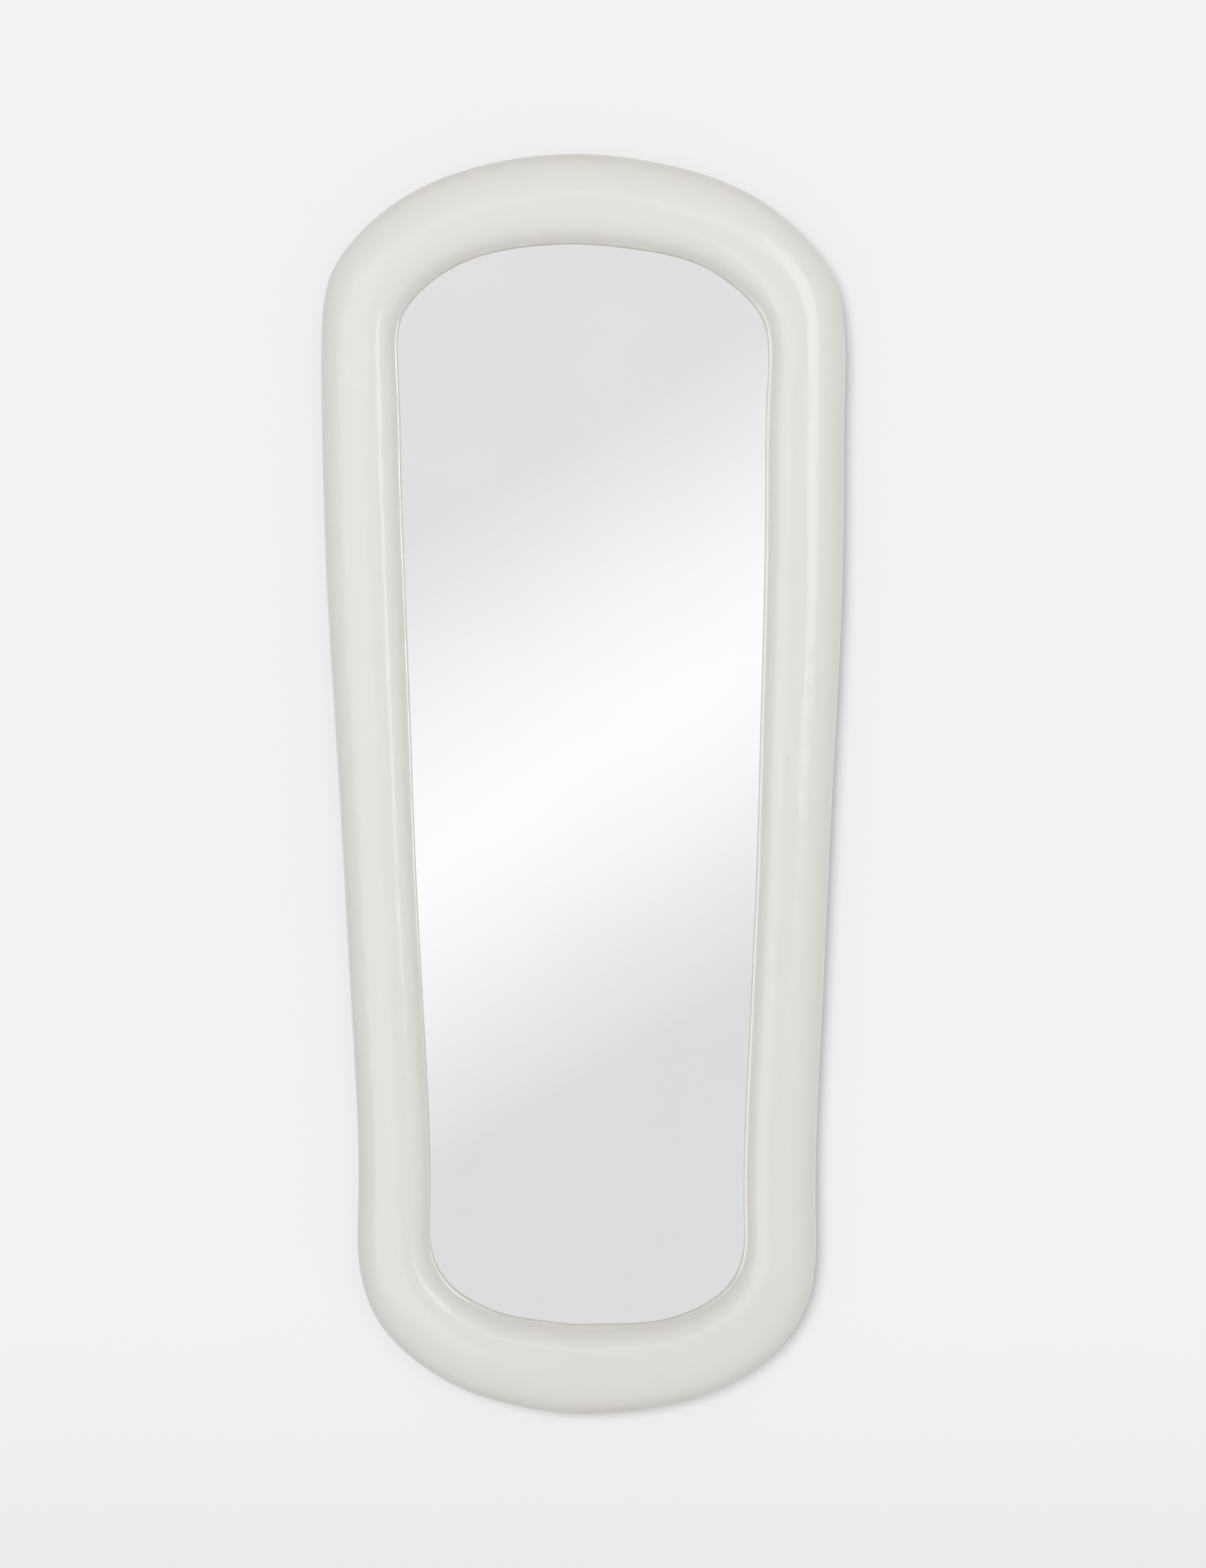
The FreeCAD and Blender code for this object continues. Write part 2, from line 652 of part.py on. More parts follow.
def make_wall_bumper(centre):
    """A rubber cone with a deep seat for its washer and screw."""
    backwards = Vector(0, 1, 0)
    body = Part.makeCone(BUMPER_BASE_RADIUS, BUMPER_FACE_RADIUS, BUMPER_HEIGHT, centre, backwards)
    face_y = centre.y + BUMPER_HEIGHT
    rim = [edge for edge in body.Edges
           if edge.Closed and abs(edge.CenterOfMass.y - face_y) < 1e-6]
    body = body.makeFillet(BUMPER_EDGE_ROUND, rim)
    seat = centre + Vector(0, SEAT_HEIGHT, 0)
    well = Part.makeCylinder(WASHER_RADIUS + WASHER_CLEARANCE, BUMPER_SEAT_DEPTH, seat, backwards)
    hole = cylinder(BUMPER_SCREW[0] + HOLE_CLEARANCE, seat, SEAT_HEIGHT)
    return body.cut([well, hole])


def make_bumper_washers():
    washers = []
    for centre in bumper_centres().values():
        rear = centre + Vector(0, SEAT_HEIGHT + WASHER_THICKNESS, 0)
        hole = cylinder(BUMPER_SCREW[0] + HOLE_CLEARANCE, rear, WASHER_THICKNESS)
        washers.append(cylinder(WASHER_RADIUS, rear, WASHER_THICKNESS).cut(hole))
    return Part.makeCompound(washers)


def make_bumper_screws():
    through = SEAT_HEIGHT + WASHER_THICKNESS
    return Part.makeCompound([pan_screw(BUMPER_SCREW, centre + Vector(0, through, 0), through)
                              for centre in bumper_centres().values()])


# Assembly

def pilot_holes():
    """Everything that the screws cut out of the plywood ring."""
    cutters = [ring_screw_blank(seat) for seat in ring_screw_seats()]
    groups = [(PANEL_SCREW, [seat - Vector(0, PANEL_THICKNESS, 0) for seat in panel_screw_seats()]),
              (HANGER_SCREW, strap_screw_points(-1) + strap_screw_points(1)),
              (BUMPER_SCREW, list(bumper_centres().values()))]
    for centre in plate_centres().values():
        groups.append((PLATE_SCREW, plate_screw_points(centre)))
    for spec, points in groups:
        cutters += [cylinder(spec[0], point, spec[1]) for point in points]
    return cutters


def make_parts():
    """Every node's name and shape."""
    parts = {"frame_shell": make_frame_shell([ring_screw_blank(seat)
                                              for seat in ring_screw_seats()])}
    parts.update(make_ring(pilot_holes()))
    parts["ring_screws"] = make_ring_screws()
    for name, centre in plate_centres().items():
        parts[name] = make_splice_plate(centre)
    parts["splice_screws"] = make_splice_screws()
    parts["glazing_tape"] = make_glazing_tape()
    parts["mirror_glass"] = make_mirror_glass()
    parts["safety_film"] = make_safety_film()
    parts.update(make_setting_blocks())
    parts["edge_spacers"] = make_edge_spacers()
    parts["cushion_pads"] = make_cushion_pads()
    parts["back_panel"] = make_back_panel()
    parts["panel_screws"] = make_panel_screws()
    for hand, side in (("left", -1), ("right", 1)):
        parts[f"hanger_strap_{hand}"] = make_hanger_strap(side)
        parts[f"hanger_ring_{hand}"] = make_hanger_ring(side)
    parts["hanger_screws"] = make_hanger_screws()
    for name, centre in bumper_centres().items():
        parts[name] = make_wall_bumper(centre)
    parts["bumper_washers"] = make_bumper_washers()
    parts["bumper_screws"] = make_bumper_screws()
    return parts


os.makedirs("parts", exist_ok=True)
for part_name, shape in make_parts().items():
    shape.exportStep(f"parts/{part_name}.step")
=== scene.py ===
"""Looks for the full-length mirror in a puffy hand-formed frame, hung on two D-rings.

Metres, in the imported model's frame: X across the mirror, Z up, Y from the front (-Y) to the wall.
The moulded shell is built again here with its hand-worked surface. Every other piece is the
packed one, with a material of its own.
"""
import json
import math

import bmesh
import bpy
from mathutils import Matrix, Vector, noise
from mathutils.bvhtree import BVHTree


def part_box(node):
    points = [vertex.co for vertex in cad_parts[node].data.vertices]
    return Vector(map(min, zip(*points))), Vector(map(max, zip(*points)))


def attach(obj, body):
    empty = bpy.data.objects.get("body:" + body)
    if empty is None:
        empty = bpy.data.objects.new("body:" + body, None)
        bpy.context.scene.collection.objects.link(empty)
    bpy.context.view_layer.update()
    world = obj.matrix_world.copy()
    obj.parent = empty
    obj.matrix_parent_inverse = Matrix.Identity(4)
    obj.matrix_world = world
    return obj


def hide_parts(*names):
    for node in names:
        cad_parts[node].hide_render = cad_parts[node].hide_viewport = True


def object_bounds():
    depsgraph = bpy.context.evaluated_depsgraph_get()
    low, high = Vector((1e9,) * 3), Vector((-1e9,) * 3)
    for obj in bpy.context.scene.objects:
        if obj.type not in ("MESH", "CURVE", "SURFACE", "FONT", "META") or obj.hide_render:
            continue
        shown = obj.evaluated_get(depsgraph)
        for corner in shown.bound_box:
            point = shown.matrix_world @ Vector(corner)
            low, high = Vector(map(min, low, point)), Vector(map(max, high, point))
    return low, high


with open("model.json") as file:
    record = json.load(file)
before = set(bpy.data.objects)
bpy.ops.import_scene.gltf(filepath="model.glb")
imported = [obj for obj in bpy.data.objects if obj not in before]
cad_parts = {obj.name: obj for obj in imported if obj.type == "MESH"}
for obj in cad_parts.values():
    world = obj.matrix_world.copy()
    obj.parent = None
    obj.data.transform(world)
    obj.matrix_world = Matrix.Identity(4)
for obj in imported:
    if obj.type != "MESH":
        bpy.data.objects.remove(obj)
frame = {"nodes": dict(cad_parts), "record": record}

CAD_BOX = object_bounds()

# The shell's section. A place in it is (s, d): s outwards from the sight edge, d forwards from
# the rear rim.
TOP_HUB = 0.389             # the round ends' sections point at hubs this far in from the ends
BOTTOM_HUB = 0.330
WALL = 0.005
RIM_TUCK = 0.006
WIDEST_DEPTH = 0.022
LIP_BACK = 0.028
LIP_FRONT = LIP_BACK + WALL
FLANGE_WIDTH = 0.032
FAN_DEPTH = 0.038           # the fan of rays that reads the skin spreads from this depth
FAN_SHARE = 0.45            # and from this share of the band
REACH = 1.0                 # farther out than any part of the frame
LIP_ROUND = 0.0012

# The rebuilt shell's mesh
SIDE_STEP = 0.008           # between sections along the straight sides
END_SECTIONS = 150          # sections round each end
FAN_RAYS = 150
OUTSIDE_POINTS = 64
INSIDE_POINTS = 26

# Hand-worked relief: wavelength and height of each layer, all of it below the moulded surface
RELIEF = ((0.130, 0.0007), (0.050, 0.0004), (0.018, 0.00008))
LAYER_SHIFT = Vector((7, 3, 0))     # gives each layer a part of the noise to itself
RELIEF_FADE = 0.012         # the relief fades out this near the rim and the lip
# Soft ridges along the band: share of the band, wander, height and place in the noise
RIDGES = ((0.26, 0.055, 0.0006, 5), (0.47, 0.070, 0.0009, 14))
RIDGE_ROUND = 0.003         # how far a ridge's top is rounded
RIDGE_REACH = 0.018         # how far its slopes reach
RIDGE_WAVE = 0.21           # wavelength of a ridge's wander
EDGE_SHARE = 0.25           # how much of the relief the surfaces that face sideways keep

# Finish: a warm glaze that is partly painted shade, near the lip, the rim and round the ends
SHADED_GLAZE_INNER = 0.014         # the finish warms and darkens this near the lip, along the skin: a warm glaze with painted shade
SHADED_GLAZE_OUTER = 0.036         # and this near the rim
SHADED_GLAZE_ENDS = (2.0, 2.6)     # how many times farther the two reach round the ends
SHADED_GLAZE_SIDES = 0.7           # share of the ends' glaze and painted shade that the sides hold
SHADED_GLAZE_LIP = 0.15            # share of the rim's glaze and painted shade that the lip holds
LIP_ROWS = 3                # rows of faces outside the lip that the lacquer leaves dull
MIDDLE = (CAD_BOX[0].z + CAD_BOX[1].z) / 2
WARM_SPAN = (0.35, 0.75)    # the clouds turn warmer between these distances from the middle
WARM_LEAN = (-0.05, 0.12)   # and this is added to their noise there

PLY_PAIR = 0.003            # thickness of two plies
THREAD_SPACING = 0.0016     # between the film's threads

# Camera, frontal, a little right of the middle
VIEW_CENTRE = Vector((0.0286, 0.0, 0.9145))
VIEW_HEIGHT = 2.276         # height of the view at the frame's widest line
LENS = 85.0
SENSOR = 36.0

# Background and light
BACKDROP = 0.888            # the surround's brightness where the camera sees it
FLOOR_DROP = 0.32           # the floor is this far below the hung mirror
STAGE_SIZE = 7.0
WALL_GAP = 0.0004           # between the bumpers and the wall
WALL_ALBEDO = 0.22
WALL_GLOW = 0.233           # an even glow that lifts the wall to the background
WALL_SUN = 6.2              # a soft lamp that lights the wall only, for the mirror's thin shadow
WALL_SUN_SIZE = 33.0        # degrees across
WALL_SUN_TILT = (13.0, 9.0)    # degrees left and up of straight ahead

# The surround's brightness: to the sides, ahead, behind, and how it rises to the right and upwards
SIDE_LEVEL = 0.695
FRONT_LEVEL = 0.90
REAR_LEVEL = 0.83
LEVEL_RIGHT = 0.05
LEVEL_UP = -0.06

# Softboxes: middle and half size as (azimuth, elevation) in degrees, right and up of straight
# ahead, and how much brighter than the surround
SOFTBOXES = (
    ((-28.0, -5.0), (24.0, 15.0), 0.9),
    ((23.0, 13.0), (7.0, 14.0), 2.5),
    ((-9.0, 17.0), (26.0, 5.0), 1.0),
)
SOFTBOX_EDGE = 1.5          # half the width of a softbox's soft edge, in degrees

# What the mirror shows: a bright diagonal band between two plateaus, in slopes from straight ahead
BAND_TILT = 31.0            # degrees
BAND_THROUGH = (-0.0045, 0.0065)
BAND_HALF_WIDTH = 0.077
BAND_SHARPNESS = 0.015      # how far its ridge is rounded
PLATEAU_ABOVE = 0.792
PLATEAU_BELOW = 0.765
BAND_LIFT = 0.262
MIRROR_FIELD = (0.055, 0.18)    # the half width and half height that the picture fills
MIRROR_FIELD_EDGE = 1.25        # it gives way to the surround between these and 1.25 times them


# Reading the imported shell

def shell_tree(node):
    """A search tree over a CAD node's mesh."""
    mesh = node.data
    corners = [vertex.co for vertex in mesh.vertices]
    return BVHTree.FromPolygons(corners, [tuple(face.vertices) for face in mesh.polygons])


def section_lines(low, high):
    """Each section's hub and its unit vector outwards, anticlockwise from the lowest point."""
    foot, head = low.z + BOTTOM_HUB, high.z - TOP_HUB
    side_count = round((head - foot) / SIDE_STEP)
    lines = []
    for i in range(END_SECTIONS // 2):
        lines.append((foot, -90 + 180 * i / END_SECTIONS))
    for i in range(side_count):
        lines.append((foot + (head - foot) * i / side_count, 0))
    for i in range(END_SECTIONS):
        lines.append((head, 180 * i / END_SECTIONS))
    for i in range(side_count):
        lines.append((head - (head - foot) * i / side_count, 180))
    for i in range(END_SECTIONS // 2):
        lines.append((foot, 180 + 180 * i / END_SECTIONS))
    return [(Vector((0, 0, z)), Vector((math.cos(math.radians(a)), 0, math.sin(math.radians(a)))))
            for z, a in lines]


class Section:
    """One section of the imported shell: where it is, and its skin as rows of (s, d)."""

    def __init__(self, tree, rim_y, hub, outwards):
        self.tree, self.rim_y, self.outwards = tree, rim_y, outwards
        self.hub = hub
        self.sight = 0.0
        self.sight = self.hit(0.0, (LIP_BACK + LIP_FRONT) / 2, 1, 0)[0]
        self.width = self.hit(REACH, WIDEST_DEPTH, -1, 0)[0]

    def at(self, s, d):
        place = self.hub + self.outwards * (self.sight + s)
        return Vector((place.x, self.rim_y - d, place.z))

    def hit(self, s, d, along_s, along_d):
        """Where a ray inside the section first meets the shell."""
        ray = self.outwards * along_s + Vector((0, -along_d, 0))
        found, _, _, _ = self.tree.ray_cast(self.at(s, d), ray.normalized())
        if found is None:
            raise ValueError(f"no shell in the section at {self.hub}, {self.outwards}")
        return (found - self.hub).dot(self.outwards) - self.sight, self.rim_y - found.y

    def fan(self, start, end, count, from_outside):
        """The skin between two places, met by a fan of rays from outside or from within."""
        s0, d0 = FAN_SHARE * self.width, FAN_DEPTH
        first, last = (fan_angle(s - s0, d - d0) for s, d in (start, end))
        points = [start]
        for i in range(1, count):
            angle = first + (last - first) * i / count
            across, forward = math.cos(angle), math.sin(angle)
            if from_outside:
                far = 2 * self.width
                points.append(self.hit(s0 + far * across, d0 + far * forward, -across, -forward))
            else:
                points.append(self.hit(s0, d0, across, forward))
        return points + [end]

    def outside(self):
        rim = (self.width - RIM_TUCK, 0.0)
        return even_row(self.fan(rim, (0.0, LIP_FRONT), FAN_RAYS, True), OUTSIDE_POINTS)

    def inside(self):
        rim = (self.width - RIM_TUCK - WALL, 0.0)
        return self.fan((WALL, LIP_FRONT), rim, INSIDE_POINTS - 1, False)


def fan_angle(across, forward):
    """The angle of a direction, measured round by the front so that no section crosses a seam."""
    angle = math.atan2(forward, across)
    return angle if angle > -math.pi / 2 else angle + math.tau


def even_row(points, count):
    """The same row of (s, d) with its points evenly spaced."""
    lengths = [0.0]
    for a, b in zip(points, points[1:]):
        lengths.append(lengths[-1] + math.dist(a, b))
    row, k = [], 0
    for i in range(count):
        target = lengths[-1] * i / (count - 1)
        while k < len(points) - 2 and lengths[k + 1] < target:
            k += 1
        share = (target - lengths[k]) / max(lengths[k + 1] - lengths[k], 1e-9)
        row.append(tuple(a + (b - a) * share for a, b in zip(points[k], points[k + 1])))
    return row


# The hand-worked shell

def smooth_step(share):
    share = min(max(share, 0.0), 1.0)
    return share * share * (3 - 2 * share)


def relief(section, s, place):
    """How far the worked surface lies below the moulded one."""
    depth = 0.0
    for i, (wave, height) in enumerate(RELIEF):
        depth += height * (1 - noise.noise(place / wave + LAYER_SHIFT * i))
    for share, wander, height, layer in RIDGES:
        along = Vector((place.x / RIDGE_WAVE, layer, place.z / RIDGE_WAVE))
        line = section.width * (share + wander * noise.noise(along))
        off = math.hypot(s - line, RIDGE_ROUND) - RIDGE_ROUND
        depth += height * (1 - math.exp(-off / RIDGE_REACH))
    return depth


def worked_outside(section):
    """The outside row's places, worked by hand, with how much glaze and painted shade each one
    holds.
    """
    row = section.outside()
    lengths = [0.0]
    for a, b in zip(row, row[1:]):
        lengths.append(lengths[-1] + math.dist(a, b))
    places = []
    for i, (s, d) in enumerate(row):
        before, after = row[max(i - 1, 0)], row[min(i + 1, len(row) - 1)]
        along = Vector((after[0] - before[0], after[1] - before[1])).normalized()
        from_rim, from_lip = lengths[i], lengths[-1] - lengths[i]
        fade = smooth_step(min(from_rim, from_lip) / RELIEF_FADE)
        fade *= EDGE_SHARE + (1 - EDGE_SHARE) * abs(along.x)
        drop = fade * relief(section, s, section.at(s, d))
        place = section.at(s - drop * along.y, d + drop * along.x)
        end = abs(section.outwards.z)
        inner, outer = (reach * (1 + (more - 1) * end)
                        for reach, more in zip((SHADED_GLAZE_INNER, SHADED_GLAZE_OUTER), SHADED_GLAZE_ENDS))
        # painted shade: the glaze darkens the skin near the lip and the rim, and reaches farther
        # round the ends where the frame faces up and down
        glaze_and_shade = max(SHADED_GLAZE_LIP * (1 - smooth_step(from_lip / inner)),
                    1 - smooth_step(from_rim / outer))
        places.append((place, glaze_and_shade * (SHADED_GLAZE_SIDES + (1 - SHADED_GLAZE_SIDES) * end)))
    return places


def make_shell(node):
    """The shell's own mesh, section by section round the frame."""
    low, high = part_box(node.name)
    tree = shell_tree(node)
    rows = []
    for hub, outwards in section_lines(low, high):
        section = Section(tree, high.y, hub, outwards)
        back = [(0.0, LIP_BACK), (FLANGE_WIDTH, LIP_BACK), (FLANGE_WIDTH, LIP_FRONT)]
        rows.append(worked_outside(section)
                    + [(section.at(*place), 1.0) for place in back + section.inside()])
    mesh = bpy.data.meshes.new("frame_skin")
    work = bmesh.new()
    # a layer for how much warm glaze and painted shade each vertex holds
    glaze_and_shade = work.verts.layers.float.new("glaze_and_shade")
    grid = []
    for row in rows:
        grid.append([])
        for place, amount in row:
            vertex = work.verts.new(place)
            vertex[glaze_and_shade] = amount
            grid[-1].append(vertex)
    for one, other in zip(grid, grid[1:] + grid[:1]):
        for i in range(len(one)):
            j = (i + 1) % len(one)
            face = work.faces.new((one[i], other[i], other[j], one[j]))
            face.smooth = True
            face.material_index = 0 if i < OUTSIDE_POINTS - 1 - LIP_ROWS else 1
    bmesh.ops.recalc_face_normals(work, faces=work.faces)
    work.to_mesh(mesh)
    work.free()
    shell = bpy.data.objects.new("frame_skin", mesh)
    bpy.context.collection.objects.link(shell)
    bevel = shell.modifiers.new("edges", "BEVEL")
    bevel.width, bevel.segments = LIP_ROUND, 3
    bevel.limit_method, bevel.angle_limit = "ANGLE", math.radians(50)
    bevel.harden_normals = True
    return shell


# Materials

def put(tree, value, socket):
    """Feeds a socket with another node's output or with a plain value."""
    if isinstance(value, bpy.types.NodeSocket):
        tree.links.new(value, socket)
    else:
        socket.default_value = value


def add(tree, kind, inputs=None, **settings):
    """A new node with its settings and inputs."""
    item = tree.nodes.new("ShaderNode" + kind)
    for name, value in settings.items():
        setattr(item, name, value)
    for name, value in (inputs or {}).items():
        put(tree, value, item.inputs[name])
    return item


def calc(tree, operation, *values):
    """The output of a Math node."""
    item = add(tree, "Math", operation=operation)
    for value, socket in zip(values, item.inputs):
        put(tree, value, socket)
    return item.outputs[0]


def blend_colours(tree, factor, a, b):
    item = add(tree, "Mix", data_type="RGBA")
    for value, index in ((factor, 0), (a, 6), (b, 7)):
        put(tree, value, item.inputs[index])
    return item.outputs[2]


def remap(tree, value, low, high, to_low=0.0, to_high=1.0, kind="SMOOTHSTEP"):
    """A value moved from one range to another, and held inside it."""
    item = add(tree, "MapRange", interpolation_type=kind)
    for number, name in ((value, "Value"), (low, "From Min"), (high, "From Max"),
                         (to_low, "To Min"), (to_high, "To Max")):
        put(tree, number, item.inputs[name])
    return item.outputs["Result"]


def object_place(tree):
    """Where a point lies on its piece, in metres."""
    return add(tree, "TexCoord").outputs["Object"]


def grain(tree, scale, detail=2.0, stretch=(1, 1, 1), rough=0.5):
    """Noise fixed to the piece; `scale` is repeats to the metre."""
    moved = add(tree, "Mapping", {"Vector": object_place(tree), "Scale": stretch})
    inputs = {"Vector": moved.outputs["Vector"], "Scale": scale, "Detail": detail,
              "Roughness": rough}
    return add(tree, "TexNoise", inputs).outputs[0]


def rgb(*values):
    return (*values, 1.0)


def start_material(name, **surface):
    """A material with a principled surface whose uniform values are set on its own sockets."""
    material = bpy.data.materials.new(name)
    material.use_nodes = True
    tree = material.node_tree
    shader = tree.nodes["Principled BSDF"]
    for key, value in surface.items():
        shader.inputs[key.replace("_", " ")].default_value = value
    return material, tree, shader


def bump(tree, shader, height, strength, distance):
    item = add(tree, "Bump", {"Height": height, "Strength": strength, "Distance": distance})
    tree.links.new(item.outputs["Normal"], shader.inputs["Normal"])


def lacquered_resin():
    """Off-white hand-rubbed lacquer: faint warm and green clouds, warmer edges whose darkening is
    partly painted shade, pinholes.
    """
    material, tree, shader = start_material(
        "lacquered_resin", Coat_Weight=0.6, Coat_Roughness=0.11, IOR=1.5)
    place = object_place(tree)
    height = add(tree, "SeparateXYZ", {"Vector": place}).outputs["Z"]
    from_middle = calc(tree, "ABSOLUTE", calc(tree, "SUBTRACT", height, MIDDLE))
    lean = remap(tree, from_middle, *WARM_SPAN, *WARM_LEAN)
    cloud = remap(tree, calc(tree, "ADD", grain(tree, 8.0, 3.0), lean), 0.38, 0.62)
    colour = blend_colours(tree, cloud, rgb(0.712, 0.721, 0.674), rgb(0.724, 0.712, 0.672))
    rubbed = remap(tree, grain(tree, 34.0, 4.0, rough=0.6), 0.45, 0.75, 0.0, 0.4)
    colour = blend_colours(tree, rubbed, colour, rgb(0.700, 0.699, 0.658))
    # the shell's glaze attribute, scaled by uneven noise, mixes in a darker warm colour: a warm
    # glaze and painted shade near the lip, the rim and round the ends
    glaze_and_shade = add(tree, "Attribute", attribute_name="glaze_and_shade").outputs["Fac"]
    uneven = remap(tree, grain(tree, 22.0, 3.0), 0.30, 0.70, 0.45, 1.0)
    glaze_and_shade_held = calc(tree, "MULTIPLY", glaze_and_shade, uneven)
    colour = blend_colours(tree, glaze_and_shade_held, colour, rgb(0.600, 0.550, 0.440))
    holes = add(tree, "TexVoronoi", {"Vector": place, "Scale": 46.0})
    near = remap(tree, holes.outputs["Distance"], 0.030, 0.060, 1.0, 0.0)
    few = remap(tree, grain(tree, 17.0, 0.0), 0.70, 0.72)
    pinhole = calc(tree, "MULTIPLY", near, few)
    colour = blend_colours(tree, pinhole, colour, rgb(0.46, 0.42, 0.34))
    tree.links.new(colour, shader.inputs["Base Color"])
    gloss = remap(tree, glaze_and_shade_held, 0.0, 1.0, 0.30, 0.42, "LINEAR")
    tree.links.new(gloss, shader.inputs["Roughness"])
    bump(tree, shader, grain(tree, 60.0, 2.0), 0.12, 0.0008)
    return material


def raw_resin():
    """The shell's dull cast resin, from just outside the lip inwards, where the lacquer stops."""
    material, tree, shader = start_material("raw_resin", Roughness=0.7, Specular_IOR_Level=0.15)
    cloud = remap(tree, grain(tree, 30.0, 3.0), 0.30, 0.70)
    tree.links.new(blend_colours(tree, cloud, rgb(0.77, 0.74, 0.66), rgb(0.83, 0.80, 0.73)),
                   shader.inputs["Base Color"])
    bump(tree, shader, grain(tree, 120.0, 2.0), 0.2, 0.0006)
    return material


def silvered_glass():
    """A clean silvered sheet, with the slightest unevenness in its gloss."""
    material, tree, shader = start_material("mirror_glass", Metallic=1.0)
    haze = remap(tree, grain(tree, 5.0, 4.0), 0.30, 0.75)
    tree.links.new(blend_colours(tree, haze, rgb(0.948, 0.947, 0.950), rgb(0.938, 0.937, 0.941)),
                   shader.inputs["Base Color"])
    tree.links.new(remap(tree, haze, 0.0, 1.0, 0.004, 0.014, "LINEAR"),
                   shader.inputs["Roughness"])
    return material


def plywood():
    """Sanded birch plywood: long grain on the faces, plies on the cut edges."""
    material, tree, shader = start_material("plywood", Roughness=0.55, Specular_IOR_Level=0.35)
    figure = grain(tree, 14.0, 5.0, (1.0, 1.0, 0.06), 0.6)
    face = blend_colours(tree, remap(tree, figure, 0.35, 0.68), rgb(0.640, 0.485, 0.310),
                         rgb(0.520, 0.365, 0.215))
    pores = remap(tree, grain(tree, 420.0, 2.0, (1.0, 1.0, 0.04)), 0.56, 0.72, 0.0, 0.55)
    face = blend_colours(tree, pores, face, rgb(0.390, 0.260, 0.150))
    where = add(tree, "SeparateXYZ", {"Vector": object_place(tree)})
    layer = calc(tree, "SINE", calc(tree, "MULTIPLY", where.outputs["Y"], math.tau / PLY_PAIR))
    ply = blend_colours(tree, remap(tree, layer, -0.4, 0.4), rgb(0.600, 0.440, 0.270),
                        rgb(0.340, 0.215, 0.120))
    facing = add(tree, "SeparateXYZ", {"Vector": add(tree, "NewGeometry").outputs["Normal"]})
    flat = remap(tree, calc(tree, "ABSOLUTE", facing.outputs["Y"]), 0.5, 0.8)
    tree.links.new(blend_colours(tree, flat, ply, face), shader.inputs["Base Color"])
    bump(tree, shader, pores, 0.15, 0.0004)
    return material


def hardboard():
    """Smooth brown hardboard: fine fibres and darker flecks."""
    material, tree, shader = start_material("hardboard", Roughness=0.5, Specular_IOR_Level=0.4)
    fibres = remap(tree, grain(tree, 260.0, 4.0, (1.0, 1.0, 0.35), 0.65), 0.30, 0.72)
    colour = blend_colours(tree, fibres, rgb(0.150, 0.082, 0.042), rgb(0.275, 0.165, 0.088))
    clouds = remap(tree, grain(tree, 6.0, 4.0), 0.35, 0.70, 0.0, 0.45)
    colour = blend_colours(tree, clouds, colour, rgb(0.205, 0.118, 0.060))
    flecks = remap(tree, grain(tree, 900.0, 1.0), 0.66, 0.74, 0.0, 0.7)
    colour = blend_colours(tree, flecks, colour, rgb(0.070, 0.040, 0.022))
    tree.links.new(colour, shader.inputs["Base Color"])
    bump(tree, shader, fibres, 0.12, 0.0003)
    return material


def plated(name, bright, dull, rough):
    """Bright plated metal with soft clouds and drawing lines."""
    material, tree, shader = start_material(name, Metallic=1.0)
    cloud = remap(tree, grain(tree, 90.0, 3.0), 0.30, 0.72)
    tree.links.new(blend_colours(tree, cloud, bright, dull), shader.inputs["Base Color"])
    lines = grain(tree, 700.0, 2.0, (1.0, 1.0, 0.08))
    tree.links.new(remap(tree, lines, 0.30, 0.70, rough, rough + 0.14, "LINEAR"),
                   shader.inputs["Roughness"])
    bump(tree, shader, lines, 0.06, 0.0002)
    return material


def rubber(name, dark, light, scale, relief_height):
    """Rubber or foam with a fine grain of its own."""
    material, tree, shader = start_material(name, Specular_IOR_Level=0.3)
    cells = grain(tree, scale, 2.0)
    shade = remap(tree, cells, 0.32, 0.68)
    tree.links.new(blend_colours(tree, shade, dark, light), shader.inputs["Base Color"])
    tree.links.new(remap(tree, shade, 0.0, 1.0, 0.62, 0.82, "LINEAR"), shader.inputs["Roughness"])
    bump(tree, shader, cells, 0.5, relief_height)
    return material


def woven_film():
    """The safety film's grey woven back."""
    material, tree, shader = start_material("safety_film", Roughness=0.6)
    where = add(tree, "SeparateXYZ", {"Vector": object_place(tree)})
    turns = math.tau / THREAD_SPACING
    warp = calc(tree, "SINE", calc(tree, "MULTIPLY", where.outputs["X"], turns))
    weft = calc(tree, "SINE", calc(tree, "MULTIPLY", where.outputs["Z"], turns))
    weave = remap(tree, calc(tree, "MULTIPLY", warp, weft), -1.0, 1.0)
    tree.links.new(blend_colours(tree, weave, rgb(0.46, 0.50, 0.53), rgb(0.60, 0.64, 0.66)),
                   shader.inputs["Base Color"])
    bump(tree, shader, weave, 0.3, 0.0002)
    return material


